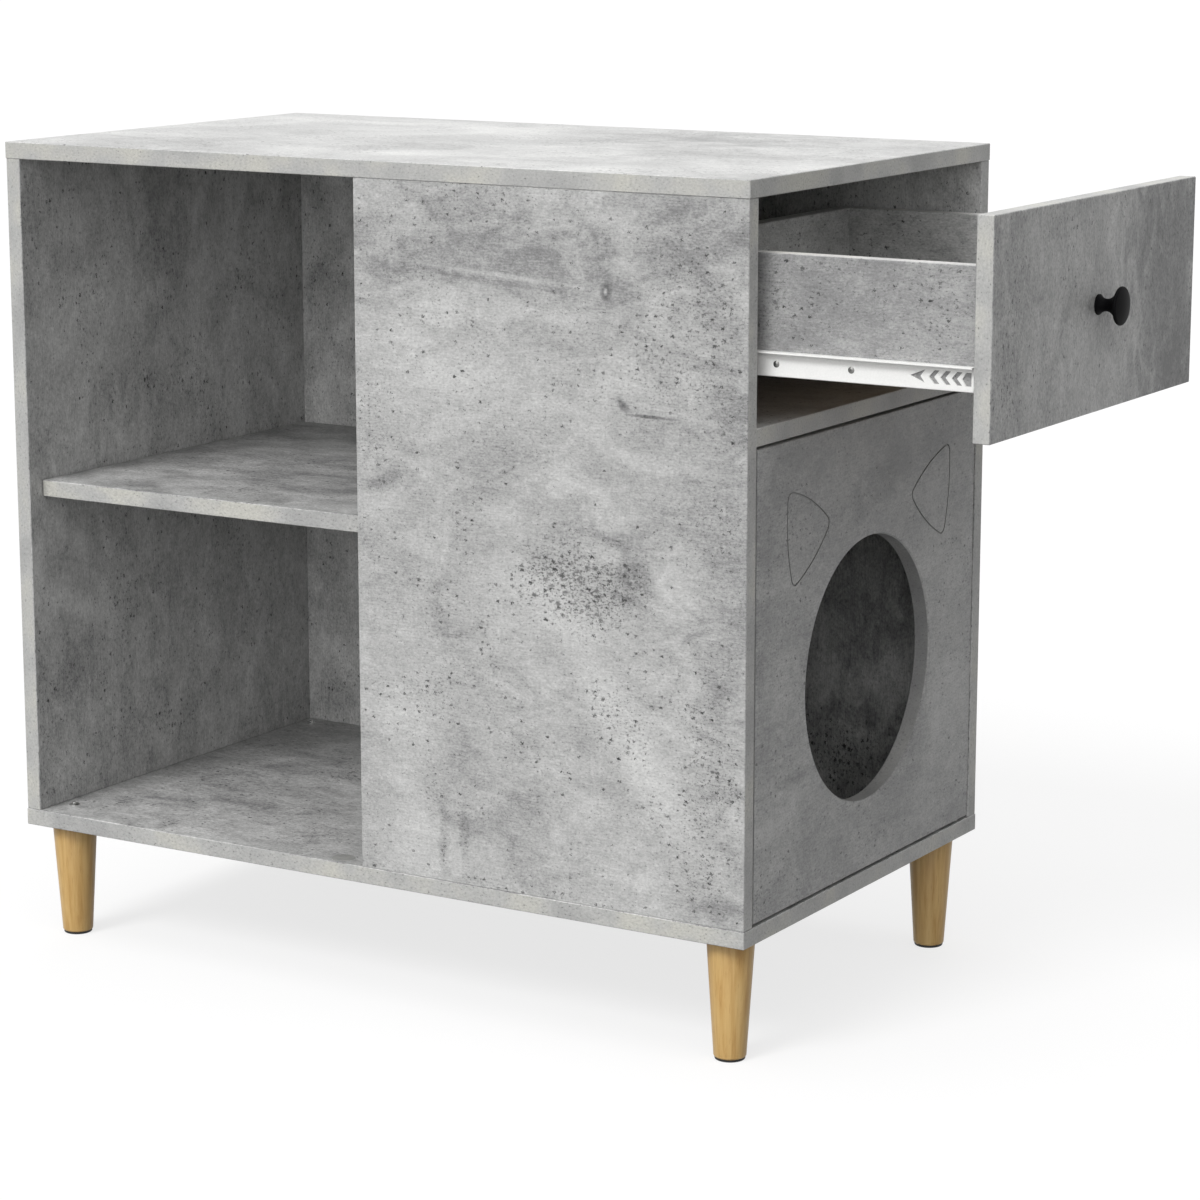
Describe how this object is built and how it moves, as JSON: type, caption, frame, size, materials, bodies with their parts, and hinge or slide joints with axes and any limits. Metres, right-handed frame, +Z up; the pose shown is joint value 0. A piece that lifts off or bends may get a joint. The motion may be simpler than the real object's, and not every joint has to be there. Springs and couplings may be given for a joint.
{
  "type": "cat house cabinet",
  "caption": "Low board cabinet on tapered wooden legs with an open shelf bay, an inset cat door with a round entrance at one end and a drawer on roller runners above it.",
  "frame": {"origin": "on the floor below the middle of the carcass", "axes": "+X towards the end with the drawer and the cat door, +Y to the back panel, +Z up"},
  "size_m": [0.9861, 0.44, 0.737],
  "materials": {
    "board_concrete": "concrete-decor melamine on chipboard",
    "leg_wood": "clear-lacquered solid wood",
    "pad_black": "black foot pad",
    "bolt_zinc": "zinc-plated steel",
    "runner_white": "white epoxy-coated steel",
    "roller_nylon": "natural nylon",
    "knob_black": "matt black coated metal",
    "drawer_sheet": "grey-faced thin fibreboard",
    "catch_plastic": "moulded plastic",
    "magnet_dark": "ferrite magnet"
  },
  "bodies": {
    "carcass": {"top_panel": "board_concrete", "bottom_panel": "board_concrete", "left_side_panel": "board_concrete", "front_panel": "board_concrete", "back_panel": "board_concrete", "centre_divider": "board_concrete", "drawer_deck": "board_concrete", "shelf": "board_concrete", "shelf_plugs": "catch_plastic", "magnetic_catch": "catch_plastic", "legs": "leg_wood", "leg_pads": "pad_black", "leg_bolts": "bolt_zinc", "cabinet_roller_axles": "bolt_zinc", "catch_poles": "bolt_zinc", "cabinet_runner_front": "runner_white", "cabinet_runner_back": "runner_white", "pivot_bushes": "roller_nylon", "catch_magnet": "magnet_dark"},
    "drawer": {"drawer_front": "board_concrete", "drawer_back": "board_concrete", "drawer_side_front": "board_concrete", "drawer_side_back": "board_concrete", "drawer_bottom": "drawer_sheet", "knob": "knob_black", "drawer_runner_front": "runner_white", "drawer_runner_back": "runner_white", "drawer_roller_axles": "bolt_zinc"},
    "cat_door": {"cat_door": "board_concrete", "pivot_pins": "bolt_zinc", "strike_plate": "bolt_zinc"},
    "cabinet_roller_front": {"cabinet_roller_front": "roller_nylon"},
    "cabinet_roller_back": {"cabinet_roller_back": "roller_nylon"},
    "drawer_roller_front": {"drawer_roller_front": "roller_nylon"},
    "drawer_roller_back": {"drawer_roller_back": "roller_nylon"}
  },
  "joints": [
    {"name": "drawer_slide", "type": "slide", "parent": "carcass", "child": "drawer", "axis": [1, 0, 0], "range_m": [-0.203, 0.027]},
    {"name": "door_hinge", "type": "hinge", "parent": "carcass", "child": "cat_door", "pos_m": [0.372, 0.188, 0.322], "axis": [0, 0, 1], "range_deg": [0, 110]},
    {"name": "cabinet_roller_front_turn", "type": "hinge", "parent": "carcass", "child": "cabinet_roller_front", "pos_m": [0.354, -0.2, 0.5895], "axis": [0, 1, 0], "continuous": true},
    {"name": "cabinet_roller_back_turn", "type": "hinge", "parent": "carcass", "child": "cabinet_roller_back", "pos_m": [0.354, 0.2, 0.5895], "axis": [0, 1, 0], "continuous": true},
    {"name": "drawer_roller_front_turn", "type": "hinge", "parent": "drawer", "child": "drawer_roller_front", "pos_m": [0.2745, -0.197, 0.5895], "axis": [0, 1, 0], "continuous": true},
    {"name": "drawer_roller_back_turn", "type": "hinge", "parent": "drawer", "child": "drawer_roller_back", "pos_m": [0.2745, 0.197, 0.5895], "axis": [0, 1, 0], "continuous": true}
  ],
  "couplings": [
    {"joint": "cabinet_roller_front_turn", "follows": "drawer_slide", "rad_per_m": 117.65},
    {"joint": "cabinet_roller_back_turn", "follows": "drawer_slide", "rad_per_m": 117.65},
    {"joint": "drawer_roller_front_turn", "follows": "drawer_slide", "rad_per_m": 117.65},
    {"joint": "drawer_roller_back_turn", "follows": "drawer_slide", "rad_per_m": 117.65}
  ]
}
